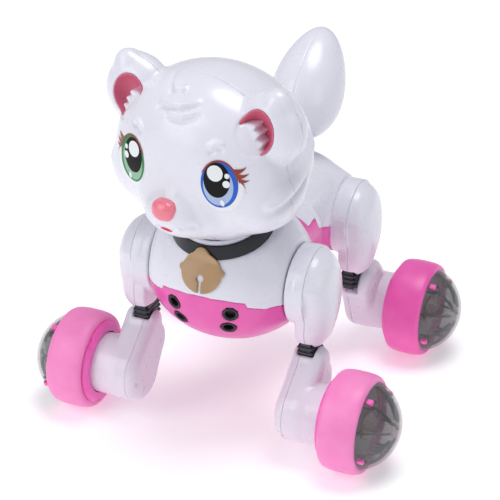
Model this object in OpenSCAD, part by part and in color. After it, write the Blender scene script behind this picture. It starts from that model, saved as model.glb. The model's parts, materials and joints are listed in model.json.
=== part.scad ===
// Electronic robot kitten: a posable pet on four domed wheels.
// +Z is up, the kitten faces -Y, and its left side is +X. The origin is on the
// ground, under the middle of the whole object.

/* [Stance] */
// Distance between the centres of the two front wheels
front_track = 153; // [150:0.5:156]
// How much closer together the two rear wheels are than the front ones
rear_narrowing = 21; // [18:0.5:24]
// Distance from the front axle line to the rear axle line
wheelbase = 116.4; // [114:0.2:120]
// Place of the front axle line, which centres the object front to back
front_axle_y = -52.9; // [-60:0.1:-48]

/* [Wheels] */
// Radius of the tyre at its crown
tyre_r = 25; // [24.5:0.1:25.5]
// How far the clear dome stands out from the wheel's centre
dome_reach = 20.6; // [19:0.1:22]
// Radius of a wheel's shaft
shaft_r = 2; // [1.8:0.1:2.2]

/* [Legs] */
// Height of the front hip axis
front_hip_z = 83.3; // [82:0.1:85]
// How far the front hip axis lies behind the front axle line
front_hip_y = 19.9; // [19:0.1:21]
// Height of the rear hip axis
rear_hip_z = 79.4; // [78:0.1:81]
// How far the rear hip axis lies behind the front axle line
rear_hip_y = 101.5; // [100:0.1:103]
// Radius of the round hip drum
drum_r = 19.8; // [19:0.1:20]
// Length of the shin, from the knee axis to the wheel axis
shin_len = 28.5; // [28:0.1:29]
// Forward swing of the front shins in the stance
front_shin_turn = -31.5; // [-34:0.5:-29]
// Backward swing of the rear shins in the stance
rear_shin_turn = 44.3; // [42:0.5:46]

/* [Torso] */
// Radius of the round chest
chest_r = 38.5; // [38:0.1:39]
// Radius of the round rump
rump_r = 28; // [27:0.1:29]
// Radius of the waist where it leaves the chest
waist_front_r = 30; // [29:0.1:31]
// Radius of the waist where it meets the rump
waist_rear_r = 25; // [24:0.1:26]
// Thickness of the torso's plastic
torso_wall = 2; // [1.8:0.1:2.2]

/* [Head] */
// Turn of the head in the stance, negative to the kitten's right
head_turn = -10; // [-12:1:-8]
// Forward lean of the neck
neck_lean = 16.8; // [15:0.1:18]
// Thickness of the head's plastic
head_wall = 2.6; // [2.4:0.1:3]

/* [Hidden] */
$fn = 72;
HULL_FN = 32;
gap = 0.3;
run = 0.05;
wide = 400;

leg_wall = 1.8;
front_side_x = front_track / 2 - 40.9;
rear_side_x = front_side_x - rear_narrowing / 2;

// Leg sizes, measured outward from the torso's side plane.
drum_x = 4.9;
thigh_seam_x = 9.9;
thigh_out_x = 21.4;
thigh_dome_r = 36;
shin_in_x = 1.9;
shin_seam_x = 6.4;
shin_out_x = 19;
tube_r = 15.3;
tube_end_x = 28.6;
outline_step = 0.3;
wheel_x = 40.9;
link_x = [5, 12.5];
hip_shaft_r = 5;
hip_shaft_end = -8;
knee_pin_r = 2.5;
link_disc_r = 7;

// Leg points [y, z]: the thigh's from the hip axis, the shin's from the knee axis.
knee_at = [-5, -34];
thigh_low = [-5.5, -20];
thigh_low_r = 10;
calf_at = [4.5, -13];
calf_r = 11.8;
shin_top = [0, -4.5];
shin_top_r = 7;

// Wheel sizes, along the axle from the wheel's centre, outward positive.
tyre_x = [-13.2, 5.8];
hub_flange_r = 21;
hub_back_x = -15.5;
hub_drum_r = 20.5;
hub_front_x = 3.5;
hub_boss_r = 6;
hub_boss_x = 2;
dome_rim_r = 21.7;
dome_wall = 1.5;

// Torso points, behind the front axle line and above the ground.
chest_ball = [chest_r, 42];
rump_ball = [rump_r, 32.5];
chest_end_y = 40;
waist_z = [87, 82];
bore_pad_r = 9;
bore_pad_len = 7;
neck_plane = 28.8;
neck_r = 24;
collar_h = 6.9;
deck_drop = 3;
seam_front = [-15.3, 85.3];
seam_slope = -0.33;
back_seam_z = 82;
rump_seam = [84, 68];
screw_places = [[-18, 50], [18, 50], [-17, 78], [17, 78]];
port_places = [[14.5, -6.5], [12.5, -16.3]];
port_r = 4.2;
port_hole_r = 2.6;
aa_r = 7.25;
aa_len = 50.5;
aa_pitch = 14.7;
door_half_x = 22;
door_y = [1, 39];
door_flat_z = 46.3;
tail_mid = [116.5, 142.5];
tail_lean = -40;
tail_half_len = 30;
tail_girth = 18.55;
tail_taper = 0.21;
tail_stem_r = 6;

// Head points, in the head's own frame, whose origin is under its turning place.
head_pivot_y = 20;
head_seam_y = -20;
cheek = [22, -17, 147];
cheek_r = 26;
brow = [12, -12, 160];
brow_r = 34;
jowl = [0, -16, 147];
jowl_r = 32;
nape = [0, -2, 158];
nape_r = 34;
muzzle = [0, -37, 131];
muzzle_r = 16;
nose_at = [0, -50, 137.2];
nose_r = 6.3;
eye_at = [24.5, -43.4, 153];
eye_half = [9.5, 12];
ear_tip = [38.5, -26, 193.5];
ear_in = [20, -22, 186];
ear_out = [45, -20, 166];
ear_r = 4.5;

// [name, side, side plane x, hip y, hip z, shin turn, driven]
LEGS = [
    ["fl", 1, front_side_x, front_hip_y, front_hip_z, front_shin_turn, true],
    ["fr", -1, front_side_x, front_hip_y, front_hip_z, front_shin_turn, true],
    ["rl", 1, rear_side_x, rear_hip_y, rear_hip_z, rear_shin_turn, false],
    ["rr", -1, rear_side_x, rear_hip_y, rear_hip_z, rear_shin_turn, false]
];
LEG_PARTS = ["thigh_inner", "thigh_outer", "knee_link", "shin_inner", "shin_outer",
             "wheel_shaft", "hub", "tyre", "dome", "lamp"];
TORSO_PARTS = ["chest_shell", "back_shell", "belly_shell", "battery_door", "batteries",
               "main_board", "speaker", "power_switch", "sound_ports", "case_screws",
               "tail", "collar_band", "bell_badge", "head_motor"];
HEAD_PARTS = ["face_shell", "skull_shell", "nose", "eyes", "ear_linings", "neck_post"];

// ---- placing -------------------------------------------------------------

module from_axle() {
    translate([0, front_axle_y, 0]) children();
}

// Puts a leg drawn outward along +X, hip axis at the origin, on its hip.
module on_hip(leg) {
    mirror([leg[1] < 0 ? 1 : 0, 0, 0])
        translate([leg[2], front_axle_y + leg[3], leg[4]]) children();
}

module on_knee(leg) {
    on_hip(leg) translate([0, knee_at[0], knee_at[1]]) rotate([leg[5], 0, 0]) children();
}

module on_wheel(leg) {
    on_knee(leg) translate([wheel_x, 0, -shin_len]) children();
}

// Turns children drawn about +Z so that they stand about +X.
module along_x() {
    rotate([0, 90, 0]) children();
}

// A round bar along X between two places.
module x_bar(r, x) {
    translate([x[0], 0, 0]) along_x() cylinder(r = r, h = x[1] - x[0]);
}

// A ring about the X axis from points [radius, x].
module x_turned(points) {
    rotate([0, 90, 0]) rotate_extrude() polygon(points);
}

// A flat [y, z] outline made as thick as the two places along X.
module x_slab(x) {
    translate([x[0], 0, 0]) rotate([90, 0, 90]) linear_extrude(x[1] - x[0]) children();
}

// ---- outlines ------------------------------------------------------------

// The round-ended outline around two circles: points of the belt round them.
function belt(a, ra, b, rb, steps = 20) =
    let (d = norm(b - a), along = atan2(b[1] - a[1], b[0] - a[0]),
         open = acos((ra - rb) / d))
    concat(
        [for (i = [0:steps]) let (t = along + open + (360 - 2 * open) * i / steps)
            a + ra * [cos(t), sin(t)]],
        [for (i = [0:steps]) let (t = along - open + 2 * open * i / steps)
            b + rb * [cos(t), sin(t)]]);

module thigh_outline(inset) {
    polygon(belt([0, 0], drum_r - outline_step - inset, thigh_low, thigh_low_r - inset));
}

module shin_outline(inset) {
    ankle_r = tube_r - outline_step - inset;
    polygon(belt([0, -shin_len], ankle_r, calf_at, calf_r - inset));
    polygon(belt(calf_at, calf_r - inset, shin_top, shin_top_r - inset));
    polygon(belt([0, -shin_len], ankle_r, shin_top, shin_top_r - inset));
}

// ---- legs ----------------------------------------------------------------

// The room that the knee link takes up in the thigh.
module link_room(extra) {
    x_slab([link_x[0] - extra, link_x[1] + extra])
        polygon(belt(knee_at, link_disc_r + extra, thigh_low - [0, 1], link_disc_r + extra));
}

module thigh_inner(leg) {
    color("white") on_hip(leg) difference() {
        union() {
            x_bar(drum_r, [gap, drum_x]);
            x_slab([drum_x - 0.5, thigh_seam_x]) thigh_outline(0);
            x_bar(hip_shaft_r, [hip_shaft_end, drum_x]);
        }
        difference() {
            x_bar(drum_r - leg_wall, [gap + leg_wall, thigh_seam_x + 1]);
            x_bar(hip_shaft_r + leg_wall, [0, drum_x]);
        }
        x_slab([drum_x + leg_wall, thigh_seam_x + 1]) thigh_outline(leg_wall);
        link_room(run);
    }
}

module thigh_dome(inset) {
    intersection() {
        x_slab([thigh_seam_x + run, thigh_out_x]) thigh_outline(inset);
        translate([thigh_out_x - thigh_dome_r, -2, -8]) sphere(r = thigh_dome_r - inset, $fn = 120);
    }
}

module thigh_outer(leg) {
    color("white") on_hip(leg) difference() {
        thigh_dome(0);
        translate([-0.1, 0, 0]) thigh_dome(leg_wall);
        link_room(run);
    }
}

module knee_link(leg) {
    color("dimgray") on_hip(leg) difference() {
        link_room(0);
        translate([0, knee_at[0], knee_at[1]]) x_bar(knee_pin_r + run, [0, 20]);
    }
}

// The room in the shin's top where the knee link's disc turns.
module shin_mouth() {
    x_bar(link_disc_r + 1, [link_x[0] - gap, link_x[1] + gap]);
    translate([link_x[0] - gap, -link_disc_r - 3, -4.2])
        cube([link_x[1] - link_x[0] + 2 * gap, 2 * link_disc_r + 6, 20]);
}

module shin_inner(leg) {
    color("white") on_knee(leg) difference() {
        x_slab([shin_in_x, shin_seam_x - run]) shin_outline(0);
        x_slab([shin_in_x + leg_wall, shin_seam_x]) shin_outline(leg_wall);
        shin_mouth();
    }
}

module shin_outer(leg) {
    color("white") on_knee(leg) {
        difference() {
            union() {
                x_slab([shin_seam_x, shin_out_x]) shin_outline(0);
                translate([0, 0, -shin_len]) x_bar(tube_r, [shin_seam_x, tube_end_x]);
            }
            x_slab([shin_seam_x - 1, shin_out_x - leg_wall]) shin_outline(leg_wall);
            translate([0, 0, -shin_len])
                x_bar(tube_r - leg_wall, [shin_seam_x - 1, tube_end_x - leg_wall]);
            translate([0, 0, -shin_len]) x_bar(shaft_r + 0.2, [0, tube_end_x + 1]);
            shin_mouth();
        }
        x_bar(knee_pin_r, [link_x[0] - gap, shin_out_x - leg_wall + 0.5]);
    }
}

// Front legs: the drive motor with its gearbox and output shaft.
// Rear legs: a plain steel axle with its head and its bearing sleeve.
module wheel_shaft(leg) {
    end_x = wheel_x + hub_boss_x;
    color("silver") on_knee(leg) translate([0, 0, -shin_len]) {
        x_bar(shaft_r, [tube_end_x - leg_wall - 1, end_x]);
        if (leg[6]) {
            x_bar(10, [5, 17]);
            x_bar(12, [17, tube_end_x - leg_wall - gap]);
        } else {
            x_bar(5, [5, 8]);
            x_bar(4, [8, tube_end_x - leg_wall - gap]);
        }
    }
}

// ---- wheels --------------------------------------------------------------

module hub(leg) {
    color("hotpink") on_wheel(leg) x_turned([
        [hub_flange_r, hub_back_x],
        [hub_flange_r, tyre_x[0]],
        [hub_drum_r, tyre_x[0]],
        [hub_drum_r, hub_front_x],
        [hub_drum_r - leg_wall, hub_front_x],
        [hub_drum_r - leg_wall, -9],
        [hub_boss_r, -9],
        [hub_boss_r, hub_boss_x],
        [shaft_r + run, hub_boss_x],
        [shaft_r + run, -11.5],
        [tube_r + 0.6, -11.5],
        [hub_drum_r - 0.8, hub_back_x]
    ]);
}

// The tyre's barrel section: full in the middle, with soft round shoulders.
module tyre(leg) {
    mid = (tyre_x[0] + tyre_x[1]) / 2;
    half = (tyre_x[1] - tyre_x[0]) / 2;
    seat_r = hub_drum_r + run;
    steps = 16;
    crown = [for (i = [0:steps]) let (t = 180 * i / steps, c = cos(t))
        [seat_r + 1 + (tyre_r - seat_r - 1) * pow(sin(t), 0.5),
         mid - half * sign(c) * pow(abs(c), 0.8)]];
    color("pink") on_wheel(leg)
        x_turned(concat([[seat_r, tyre_x[0]]], crown, [[seat_r, tyre_x[1]]]));
}

module dome(leg) {
    rise = dome_reach - tyre_x[1];
    ball_r = (dome_rim_r * dome_rim_r + rise * rise) / (2 * rise);
    skirt_r = hub_drum_r - 0.1;
    color("gray", 0.5) on_wheel(leg) rotate([0, 90, 0]) rotate_extrude() {
        intersection() {
            translate([0, dome_reach - ball_r]) difference() {
                circle(r = ball_r);
                circle(r = ball_r - dome_wall);
            }
            translate([0, tyre_x[1] + run]) square(ball_r);
        }
        translate([skirt_r - dome_wall, hub_front_x + 0.1])
            square([dome_wall, tyre_x[1] + 1 - hub_front_x]);
    }
}

module lamp(leg) {
    color("darkred") on_wheel(leg) {
        x_bar(9, [hub_boss_x + run, hub_boss_x + 1.6]);
        x_bar(2.5, [hub_boss_x + 1.5, hub_boss_x + 6]);
        translate([hub_boss_x + 6, 0, 0]) sphere(r = 2.5);
    }
}

// ---- torso ---------------------------------------------------------------

module at_chest() {
    translate([0, front_hip_y, front_hip_z]) children();
}

module at_rump() {
    translate([0, rear_hip_y, rear_hip_z]) children();
}

// The neck's own frame: on the chest's cut top, leaning forward.
module at_neck() {
    at_chest() rotate([neck_lean, 0, 0]) translate([0, 0, neck_plane]) children();
}

// Half the outline of an egg-round ball, [radius, half-width], with its two sides cut flat.
module ball_outline(ball, side_x, inset) {
    intersection() {
        polygon([for (i = [0:30]) [(ball[0] - inset) * sin(6 * i), (inset - ball[1]) * cos(6 * i)]]);
        translate([0, inset - side_x]) square([ball[0], 2 * (side_x - inset)]);
    }
}

// The thin skin of the chest's or the rump's ball.
module ball_skin(ball, side_x) {
    rotate([0, 90, 0]) rotate_extrude() difference() {
        ball_outline(ball, side_x, 0);
        ball_outline(ball, side_x, torso_wall);
    }
}

module ball_inside(ball, side_x) {
    rotate([0, 90, 0]) rotate_extrude() ball_outline(ball, side_x, torso_wall);
}

module chest_skin() {
    at_chest() ball_skin(chest_ball, front_side_x);
}

module waist(inset) {
    lean = atan((waist_z[0] - waist_z[1]) / (rear_hip_y - chest_end_y));
    translate([0, chest_end_y - 1.2, waist_z[0]]) rotate([-90 - lean, 0, 0])
        cylinder(r1 = waist_front_r - inset, r2 = waist_rear_r - inset,
                 h = rear_hip_y - chest_end_y);
}

// The skin of the waist and the rump together.
module back_skin() {
    difference() {
        waist(0);
        waist(torso_wall);
        at_rump() ball_inside(rump_ball, rear_side_x);
    }
    difference() {
        at_rump() ball_skin(rump_ball, rear_side_x);
        waist(torso_wall);
    }
}

// What lies between two places front to back, as a slab right across the object.
module y_zone(from, to) {
    translate([-wide / 2, from, -wide / 2]) cube([wide, to - from, wide]);
}

// The wall that closes the chest's back around the waist.
module chest_back() {
    difference() {
        intersection() {
            at_chest() rotate([0, 90, 0]) rotate_extrude()
                ball_outline(chest_ball, front_side_x, torso_wall / 2);
            y_zone(chest_end_y - torso_wall / 2, chest_end_y);
        }
        translate([0, -1, 0]) waist(torso_wall);
    }
}

// Everything on one side of the seam between the white shells and the pink belly.
module above_seam(lift) {
    front_y = -30;
    x_slab([-wide / 2, wide / 2]) polygon([
        [front_y, seam_front[1] + seam_slope * (front_y - seam_front[0]) + lift],
        [chest_end_y, seam_front[1] + seam_slope * (chest_end_y - seam_front[0]) + lift],
        [chest_end_y, back_seam_z + lift],
        [rump_seam[0] + lift, back_seam_z + lift],
        [rump_seam[0] + lift, rump_seam[1] + lift],
        [wide / 2, rump_seam[1] + lift],
        [wide / 2, wide],
        [front_y, wide]
    ]);
}

// The thick rings inside a ball's two flat sides, where the legs' stubs turn.
module bore_pad(side_x) {
    mirrored_pair() x_bar(bore_pad_r, [side_x - bore_pad_len, side_x]);
}

// The room outside the rump's flat sides, where the rear hip drums turn.
module rear_drum_room() {
    at_rump() mirrored_pair() x_bar(drum_r + gap, [rear_side_x, wide / 4]);
}

module chest_shell() {
    color("white") from_axle() difference() {
        union() {
            intersection() {
                difference() {
                    union() {
                        chest_skin();
                        chest_back();
                    }
                    at_neck() translate([0, 0, wide / 4]) cube(wide / 2, center = true);
                }
                y_zone(-wide / 2, chest_end_y);
                above_seam(0);
            }
            at_chest() bore_pad(front_side_x);
            at_neck() difference() {
                translate([0, 0, -deck_drop - torso_wall])
                    cylinder(r = neck_r, h = deck_drop + torso_wall);
                translate([0, 0, -deck_drop]) cylinder(r = neck_r - 3.2, h = deck_drop + 1);
            }
            at_neck() difference() {
                translate([0, 0, -0.5]) cylinder(r1 = neck_r, r2 = neck_r - 3.2, h = collar_h + 1);
                translate([0, 0, -1]) cylinder(r = neck_r - 5, h = collar_h + 4);
            }
        }
        at_chest() x_bar(hip_shaft_r + run, [-wide / 4, wide / 4]);
        at_neck() translate([0, 0, -10]) cylinder(r = 3.2, h = 20);
    }
}

module screw_post(place, low, high, r) {
    translate([place[0], place[1], low]) cylinder(r = r, h = high - low);
}

module back_shell() {
    color("white") from_axle() difference() {
        union() {
            intersection() {
                back_skin();
                y_zone(chest_end_y + 0.1, wide / 2);
                above_seam(0);
            }
            at_rump() bore_pad(rear_side_x);
            intersection() {
                for (place = screw_places) screw_post(place, back_seam_z + 0.1, 120, 3.4);
                waist(torso_wall / 2);
            }
        }
        at_rump() x_bar(hip_shaft_r + run, [-wide / 4, wide / 4]);
        for (place = screw_places) screw_post(place, 60, back_seam_z + 10, 1.5);
        on_tail() translate([0, 0, -tail_half_len - 40]) cylinder(r = tail_stem_r + run, h = 45);
        rear_drum_room();
    }
}

module belly_shell() {
    color("hotpink") from_axle() difference() {
        union() {
            intersection() {
                chest_skin();
                y_zone(-wide / 2, chest_end_y);
            }
            chest_back();
            intersection() {
                back_skin();
                y_zone(chest_end_y - torso_wall / 2, wide / 2);
            }
            intersection() {
                for (place = screw_places) screw_post(place, 40, back_seam_z, 3.4);
                waist(torso_wall / 2);
            }
        }
        above_seam(-0.1);
        translate([-door_half_x - gap, door_y[0] - gap, 0])
            cube([2 * (door_half_x + gap), door_y[1] - door_y[0] + 2 * gap, 70]);
        for (place = screw_places) screw_post(place, 40, 100, 1.6);
        for (place = screw_places) screw_post(place, 40, 68.1, 2.9);
        for (port = port_places) mirrored_pair()
            on_port(port) cylinder(r = port_r + run, h = 20, center = true);
        rear_drum_room();
        translate([-2.4, 58, 45]) cube([4.8, 12, 20]);
    }
}

// The frame of one round port on the kitten's left: on the chest's front, facing straight out.
module on_port(port) {
    depth = sqrt(chest_r * chest_r - port[0] * port[0] - port[1] * port[1]);
    turn = atan(port[0] / depth);
    at_chest() rotate([0, 0, turn]) rotate([90 - asin(port[1] / chest_r), 0, 0])
        translate([0, 0, chest_r]) children();
}

module sound_ports() {
    color("black") from_axle() for (port = port_places)
        mirrored_pair() on_port(port) difference() {
            translate([0, 0, -4]) cylinder(r = port_r, h = 4.4);
            translate([0, 0, -5]) cylinder(r = port_hole_r, h = 8);
        }
}

module battery_door() {
    color("hotpink") from_axle() {
        intersection() {
            chest_skin();
            translate([-door_half_x, door_y[0], door_flat_z])
                cube([2 * door_half_x, door_y[1] - door_y[0], 16]);
        }
        translate([0, front_hip_y, door_flat_z]) cylinder(r = 10, h = 2.4);
    }
}

module batteries() {
    color("gold") from_axle() for (i = [-1:1])
        translate([0, 16.5 + i * aa_pitch, 76]) {
            x_bar(aa_r, [-aa_len / 2, aa_len / 2 - 1]);
            x_bar(2.6, [aa_len / 2 - 1.2, aa_len / 2]);
        }
}

module main_board() {
    color("green") from_axle() translate([-13, 46, 88]) {
        cube([26, 44, 1.6]);
        translate([6, 12, 1.5]) cube([14, 14, 2]);
        translate([5, 32, 1.5]) cube([6, 6, 4]);
        translate([15, 32, 1.5]) cube([7, 8, 5]);
    }
}

module speaker() {
    color("black") from_axle() translate([0, -5.8, 84]) rotate([90, 0, 0]) {
        cylinder(r = 7, h = 2.1);
        translate([0, 0, 2]) cylinder(r = 10.5, h = 3.6);
    }
}

module power_switch() {
    color("black") from_axle() translate([-2, 58.5, 55.9]) {
        cube([4, 5, 6]);
        translate([-2, -1, 5.9]) cube([8, 7, 2]);
    }
}

module case_screws() {
    color("silver") from_axle() for (place = screw_places) {
        screw_post(place, 66.1, 68, 2.7);
        screw_post(place, 67.9, back_seam_z + 9.5, 1.45);
    }
}

module on_tail() {
    translate([0, tail_mid[0], tail_mid[1]]) rotate([tail_lean, 0, 0]) children();
}

function tail_side(inset) = [for (i = [0:24]) let (t = 180 * i / 24)
    [max(0, (tail_girth - inset) * sin(t) * (1 + tail_taper * cos(t))),
     -(tail_half_len - inset) * cos(t)]];

module tail() {
    color("white") from_axle() on_tail() difference() {
        union() {
            rotate_extrude() polygon(tail_side(0));
            translate([0, 0, -tail_half_len - 16]) cylinder(r = tail_stem_r, h = 13);
            translate([0, 0, -tail_half_len - 3]) cylinder(r1 = tail_stem_r, r2 = 8.4, h = 7);
        }
        rotate_extrude() polygon(tail_side(2));
    }
}

module collar_cone(extra) {
    translate([0, 0, run - extra])
        cylinder(r1 = neck_r + 1.3 + extra, r2 = neck_r - 1.8 + extra, h = collar_h - 0.6);
}

module collar_band() {
    color("black") from_axle() at_neck() difference() {
        collar_cone(0);
        translate([0, 0, -0.5])
            cylinder(r1 = neck_r + run, r2 = neck_r - 3.2 + run, h = collar_h + 1);
    }
}

module on_bell() {
    at_chest() rotate([68, 0, 0]) children();
}

module bell_badge() {
    color("tan") from_axle() difference() {
        on_bell() translate([0, 0, chest_r - 2.5]) {
            cylinder(r = 10, h = 4.2);
            translate([0, 9, 0]) cylinder(r = 3.4, h = 4.2);
            for (s = [-1, 1]) translate([s * 9.4, 1.5, 0]) cylinder(r = 2.2, h = 4.2);
        }
        at_chest() rotate([0, 90, 0]) rotate_extrude()
            ball_outline(chest_ball + [run, run], front_side_x, 0);
        at_neck() collar_cone(run);
        on_bell() translate([0, 0, chest_r + 1]) {
            translate([0, -2.5, 0]) cylinder(r = 1.9, h = 4);
            translate([-0.9, -12, 0]) cube([1.8, 9.5, 4]);
        }
    }
}

module head_motor() {
    color("silver") from_axle() at_neck() {
        translate([0, 0, -deck_drop - torso_wall - 16]) cylinder(r = 9, h = 15.9);
        translate([0, 0, -deck_drop - torso_wall - 1]) cylinder(r = 3, h = 14);
    }
}

// ---- head ----------------------------------------------------------------

module on_head() {
    translate([0, front_axle_y + head_pivot_y, 0]) rotate([0, 0, head_turn]) children();
}

module mirrored_pair() {
    for (s = [0, 1]) mirror([s, 0, 0]) children();
}

module head_form(inset) {
    hull() {
        mirrored_pair() translate(cheek) sphere(r = cheek_r - inset, $fn = HULL_FN);
        mirrored_pair() translate(brow) sphere(r = brow_r - inset, $fn = HULL_FN);
        translate(jowl) sphere(r = jowl_r - inset, $fn = HULL_FN);
        translate(nape) sphere(r = nape_r - inset, $fn = HULL_FN);
    }
}

module ear(inset) {
    hull() {
        translate(ear_tip) sphere(r = ear_r - inset, $fn = HULL_FN);
        translate(ear_in) sphere(r = ear_r - inset, $fn = HULL_FN);
        translate(ear_out) sphere(r = ear_r - inset, $fn = HULL_FN);
    }
}

// One eye's oval plate, set into the face and facing a little outward.
module eye_plate(extra) {
    translate(eye_at) rotate([0, 0, 26]) rotate([90, 0, 0]) translate([0, 0, -2.2])
        linear_extrude(2.4) polygon([for (i = [0:35])
            [(eye_half[0] + extra) * cos(10 * i), (eye_half[1] + extra) * sin(10 * i)]]);
}

// One ear's flat lining, in a pocket on the front of the ear.
module ear_lining(extra) {
    y = ear_tip[1] - ear_r;
    translate([0, y + 1.4, 0]) rotate([90, 0, 0]) linear_extrude(1.4 + extra)
        polygon([[37.5, 191 + extra], [29 - extra, 182], [36, 172 - extra], [41 + extra, 180]]);
}

module face_shell() {
    color("white") on_head() difference() {
        union() {
            intersection() {
                union() {
                    head_form(0);
                    translate(muzzle) sphere(r = muzzle_r);
                }
                y_zone(-wide / 2, head_seam_y - run);
            }
            mirrored_pair() ear(0);
        }
        head_form(head_wall);
        translate(muzzle) sphere(r = muzzle_r - head_wall);
        mirrored_pair() eye_plate(run);
        mirrored_pair() ear_lining(run);
        translate(nose_at) sphere(r = nose_r + run);
        y_zone(head_seam_y - run, wide / 2);
    }
}

module skull_shell() {
    color("white") on_head() difference() {
        head_form(0);
        head_form(head_wall);
        y_zone(-wide / 2, head_seam_y);
        rotate([0, 0, -head_turn]) translate([0, -head_pivot_y, 0])
            at_neck() cylinder(r = 8.1, h = 16);
    }
}

module neck_post() {
    color("lightgray") from_axle() at_neck() difference() {
        translate([0, 0, -deck_drop + gap]) cylinder(r = 8, h = 16);
        translate([0, 0, -deck_drop - 1]) cylinder(r = 3 + run, h = 14);
    }
}

module nose() {
    color("lightcoral") on_head() translate(nose_at) sphere(r = nose_r);
}

module eyes() {
    color("royalblue") on_head() mirrored_pair() eye_plate(0);
}

module ear_linings() {
    color("palevioletred") on_head() mirrored_pair() ear_lining(0);
}

// ---- the nodes -----------------------------------------------------------

for (leg = LEGS) {
    thigh_inner(leg);
    thigh_outer(leg);
    knee_link(leg);
    shin_inner(leg);
    shin_outer(leg);
    wheel_shaft(leg);
    hub(leg);
    tyre(leg);
    dome(leg);
    lamp(leg);
}
chest_shell();
back_shell();
belly_shell();
battery_door();
batteries();
main_board();
speaker();
power_switch();
sound_ports();
case_screws();
tail();
collar_band();
bell_badge();
head_motor();
face_shell();
skull_shell();
nose();
eyes();
ear_linings();
neck_post();
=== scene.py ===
"""The looks of a small electronic robot kitten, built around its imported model."""
import itertools
import json
import math

import bmesh
import bpy
import numpy as np
from mathutils import Matrix, Vector


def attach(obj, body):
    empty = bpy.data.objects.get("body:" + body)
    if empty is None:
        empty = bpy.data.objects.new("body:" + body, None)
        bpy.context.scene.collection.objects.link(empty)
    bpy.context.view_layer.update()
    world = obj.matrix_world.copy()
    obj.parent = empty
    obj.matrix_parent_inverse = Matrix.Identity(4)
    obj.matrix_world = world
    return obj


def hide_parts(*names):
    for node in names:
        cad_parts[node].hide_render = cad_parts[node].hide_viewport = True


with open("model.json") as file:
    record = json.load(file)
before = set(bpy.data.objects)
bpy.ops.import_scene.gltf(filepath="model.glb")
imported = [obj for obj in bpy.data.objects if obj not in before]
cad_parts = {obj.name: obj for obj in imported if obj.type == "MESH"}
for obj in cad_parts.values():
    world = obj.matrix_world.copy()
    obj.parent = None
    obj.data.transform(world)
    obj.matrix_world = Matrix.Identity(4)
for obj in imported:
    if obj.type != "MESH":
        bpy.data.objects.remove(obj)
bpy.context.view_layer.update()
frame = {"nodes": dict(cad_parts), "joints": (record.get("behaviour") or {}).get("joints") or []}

MM = 0.001
PLACES = {j["name"]: np.array(j.get("pos_m") or (0, 0, 0)) / MM for j in frame["joints"]}
AXLE_Y = PLACES["wheel_spin_fl"][1]
HEAD_YAW = math.radians(-10)
HEAD_PIVOT = (0, AXLE_Y + 20, 0)
LEGS = ("fl", "fr", "rl", "rr")

# ---- distance functions: negative inside, in millimetres ------------------

def length(v):
    return np.sqrt((v * v).sum(-1))


def egg(p, centre, semi):
    """Distance to an ellipsoid."""
    q = (p - np.array(centre, float)) / np.array(semi, float)
    near = length(q)
    slope = length(q / np.array(semi, float)) + 1e-9
    return near * (near - 1.0) / slope


def blob(p, centre, ra, end, rb):
    """Distance to a round-ended bar whose radius changes from ra at centre to rb at end."""
    a, b = np.array(centre, float), np.array(end, float)
    along = np.clip(((p - a) @ (b - a)) / ((b - a) @ (b - a)), 0.0, 1.0)
    return length(p - a - along[..., None] * (b - a)) - (ra + (rb - ra) * along)


def join(a, b, soft):
    """Union with a fillet of about `soft`."""
    mix = np.clip(0.5 + 0.5 * (b - a) / soft, 0.0, 1.0)
    return b * (1 - mix) + a * mix - soft * mix * (1 - mix)


def within(a, b, soft):
    """Intersection with an edge rounded by about `soft`."""
    return -join(-a, -b, soft)


def carve(a, b, soft):
    """a with b taken away."""
    return within(a, -b, soft)


def bump(distance, half_width):
    """A smooth swell, 1 where the distance is 0."""
    return np.exp(-(distance / half_width) ** 2)


def ramp(value, low, high):
    """A smooth step from 0 at low to 1 at high."""
    t = np.clip((value - low) / (high - low), 0.0, 1.0)
    return t * t * (3 - 2 * t)


def mirrored(p):
    """Points folded onto the +X side, for shapes that are the same left and right."""
    return np.abs(p[..., :1]) * (1, 0, 0) + p * (0, 1, 1)


def mid_fade(along):
    """1 over the middle of a line, falling to 0 at both its ends."""
    return 1 - (2 * along - 1) ** 4


def near_path(p, path):
    """Distance to a line of points, and how far along it the nearest place is, from 0 to 1."""
    path = np.array(path, float)
    best = np.full(p.shape[:-1], 1e9)
    where = np.zeros(p.shape[:-1])
    for i in range(len(path) - 1):
        a, b = path[i], path[i + 1]
        t = np.clip(((p - a) @ (b - a)) / ((b - a) @ (b - a)), 0.0, 1.0)
        d = length(p - a - t[..., None] * (b - a))
        where = np.where(d < best, (i + t) / (len(path) - 1), where)
        best = np.minimum(d, best)
    return best, where


# ---- the head ---------------------------------------------------------------

HEAD_MID = (0, -12, 152.6)
HEAD_HALF = (47.4, 41.8)
HEAD_FRONT = 35.5
HEAD_BACK = 41


def skull_form(p):
    """The head's round body, blunter in front than behind."""
    x, y, z = p[..., 0], p[..., 1] - HEAD_MID[1], p[..., 2] - HEAD_MID[2]
    across = np.hypot(x / HEAD_HALF[0], z / HEAD_HALF[1])
    power = np.where(y < 0, 2.6, 2.0)
    depth = np.where(y < 0, -y / HEAD_FRONT, y / HEAD_BACK)
    level = (across ** power + depth ** power) ** (1 / power) + 1e-9
    return np.sqrt(x * x + y * y + z * z) * (1 - 1 / level)


def head_plain(p):
    """The head without its ears and its small features."""
    side = mirrored(p)
    d = skull_form(side)
    d = join(d, egg(side, (33, -20, 140), (16.3, 18.5, 15.3)), 8)
    d = join(d, egg(side, (0, -37, 132), (20.5, 17.5, 13)), 7)
    return d


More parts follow.
